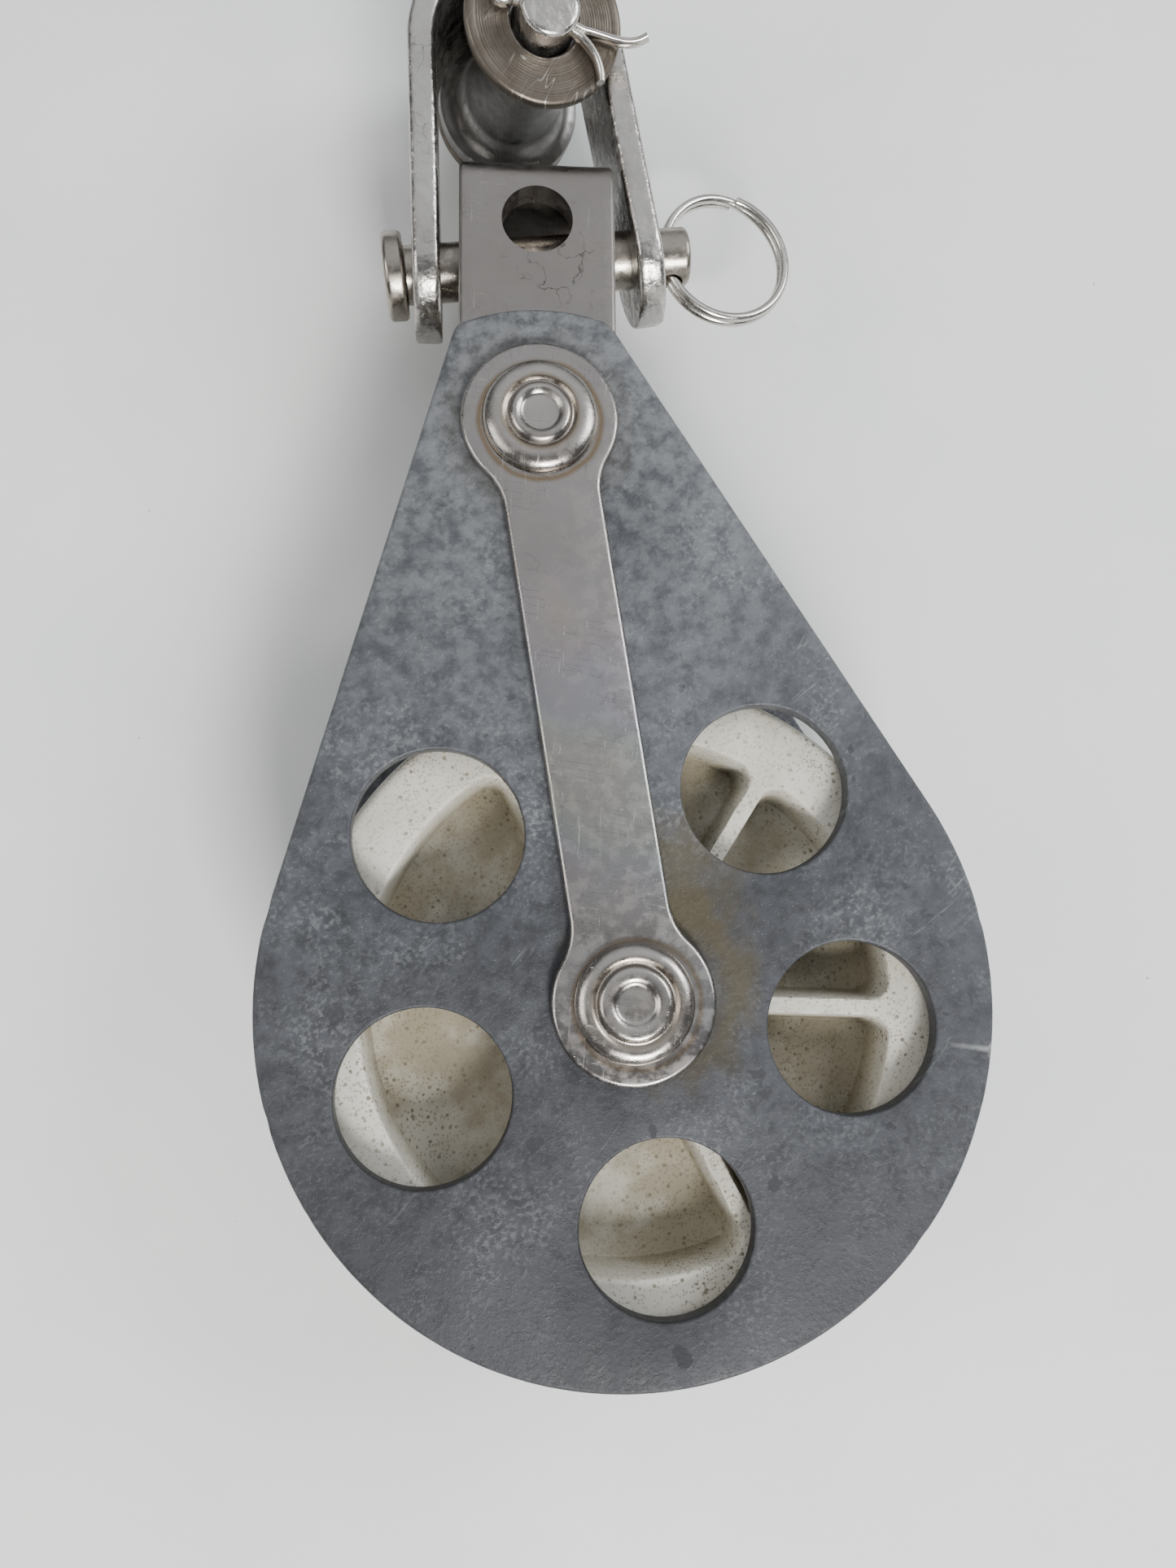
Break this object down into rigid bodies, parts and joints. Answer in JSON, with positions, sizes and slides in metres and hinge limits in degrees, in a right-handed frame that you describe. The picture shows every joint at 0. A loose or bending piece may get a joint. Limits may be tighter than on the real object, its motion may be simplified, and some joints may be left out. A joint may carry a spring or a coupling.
{
  "type": "single rigging block",
  "caption": "Single-sheave rigging block: teardrop cheeks with riveted straps, ribbed sheave, swinging head bail, pinned flat-bar bow and a flanged spool in its bight.",
  "frame": {"origin": "centre of the sheave, on its axle's axis and midway between the cheek plates", "axes": "+Z along the sheave's axle towards the front cheek, +Y from the sheave to the head rivet, +X to the right seen from the front"},
  "size_m": [0.1088, 0.2295, 0.0477],
  "materials": {
    "anodised_plate": "weathered blue-grey finish",
    "polished_steel": "worn polished stainless",
    "dull_steel": "aged stainless with brown stain",
    "forged_steel": "pebbled stainless",
    "cream_plastic": "speckled and stained",
    "bronze": "dull"
  },
  "bodies": {
    "block": {"front_cheek": "anodised_plate", "rear_cheek": "anodised_plate", "front_strap": "polished_steel", "rear_strap": "polished_steel", "axle_rivet": "polished_steel", "axle_sleeve": "dull_steel", "front_thrust_washer": "bronze", "rear_thrust_washer": "bronze", "head_rivet": "polished_steel", "head_spacer": "dull_steel"},
    "sheave": {"sheave": "cream_plastic", "sheave_bush": "bronze"},
    "bail": {"head_bail": "polished_steel"},
    "head_pin": {"head_pin": "dull_steel"},
    "ring": {"split_ring": "polished_steel"},
    "bow": {"bow": "forged_steel"},
    "spool_pin": {"spool_pin": "polished_steel", "cotter_pin": "polished_steel", "front_spool_washer": "dull_steel", "rear_spool_washer": "dull_steel"},
    "spool": {"spool": "dull_steel"}
  },
  "joints": [
    {"name": "sheave_spin", "type": "hinge", "parent": "block", "child": "sheave", "pos_m": [0, 0, 0], "axis": [0, 0, 1], "continuous": true},
    {"name": "bail_swing", "type": "hinge", "parent": "block", "child": "bail", "pos_m": [0, 0.0889, 0], "axis": [0, 0, 1], "range_deg": [-51.5, 68.5]},
    {"name": "pin_rock", "type": "hinge", "parent": "bail", "child": "head_pin", "pos_m": [0.00526, 0.12411, 0], "axis": [0, 0, 1], "range_deg": [-15, 2]},
    {"name": "ring_swing", "type": "hinge", "parent": "head_pin", "child": "ring", "pos_m": [0.02857, 0.1233, 0], "axis": [0.0349, 0.9994, 0], "range_deg": [-95, 75]},
    {"name": "bow_swing", "type": "hinge", "parent": "head_pin", "child": "bow", "pos_m": [0.00526, 0.12411, 0], "axis": [0.9994, -0.0349, 0], "range_deg": [-97, 83]},
    {"name": "spool_nod", "type": "hinge", "parent": "bow", "child": "spool_pin", "pos_m": [0.00864, 0.15776, 0.00414], "axis": [0.9994, -0.0349, 0], "range_deg": [-12, 0.5]},
    {"name": "spool_spin", "type": "hinge", "parent": "spool_pin", "child": "spool", "pos_m": [0.00864, 0.15776, 0.00414], "axis": [0.1297, -0.2454, 0.9607], "continuous": true}
  ]
}
